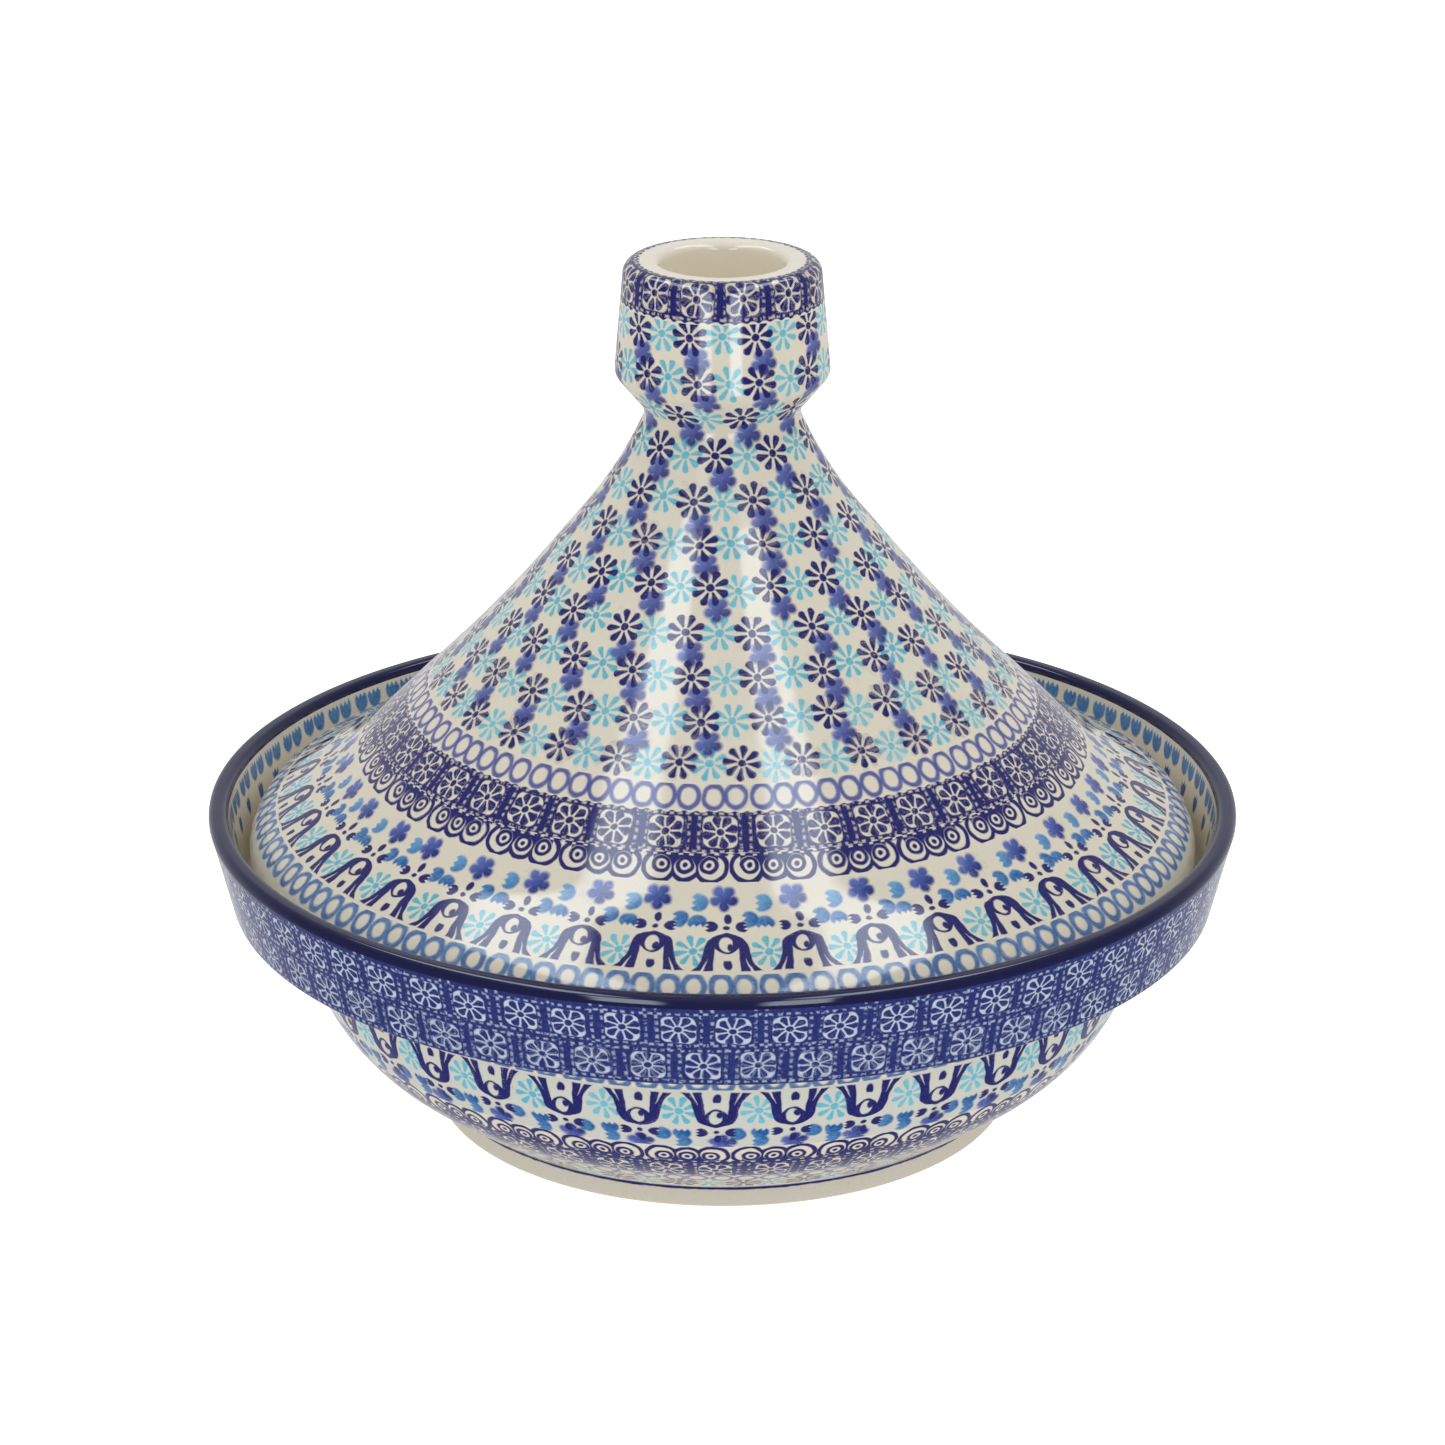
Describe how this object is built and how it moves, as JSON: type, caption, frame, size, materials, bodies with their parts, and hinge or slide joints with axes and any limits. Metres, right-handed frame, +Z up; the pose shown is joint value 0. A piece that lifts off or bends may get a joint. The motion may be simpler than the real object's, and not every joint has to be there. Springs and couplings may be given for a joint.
{
  "type": "tagine pot",
  "caption": "Glazed stoneware cooking pot: a wide footed dish with a stepped collar, and a tall conical lift-off lid with a cup-shaped knob, in blue sponge-stamped decoration.",
  "frame": {"origin": "centre of the foot's underside, on the surface that the pot stands on", "axes": "+Z is up, along the axis that both turned pieces share; X and Y are interchangeable"},
  "size_m": [0.3317, 0.3316, 0.28],
  "materials": {
    "dish_glaze": "glossy clear glaze over blue stamped decoration, bare foot ring",
    "lid_glaze": "glossy clear glaze over blue stamped decoration on a cream ground"
  },
  "bodies": {
    "dish": {"base_dish": "dish_glaze"},
    "lid": {"lid": "lid_glaze"}
  },
  "joints": [
    {"name": "lid_lift", "type": "slide", "parent": "dish", "child": "lid", "axis": [0, 0, 1], "range_m": [0, 0.15]}
  ]
}
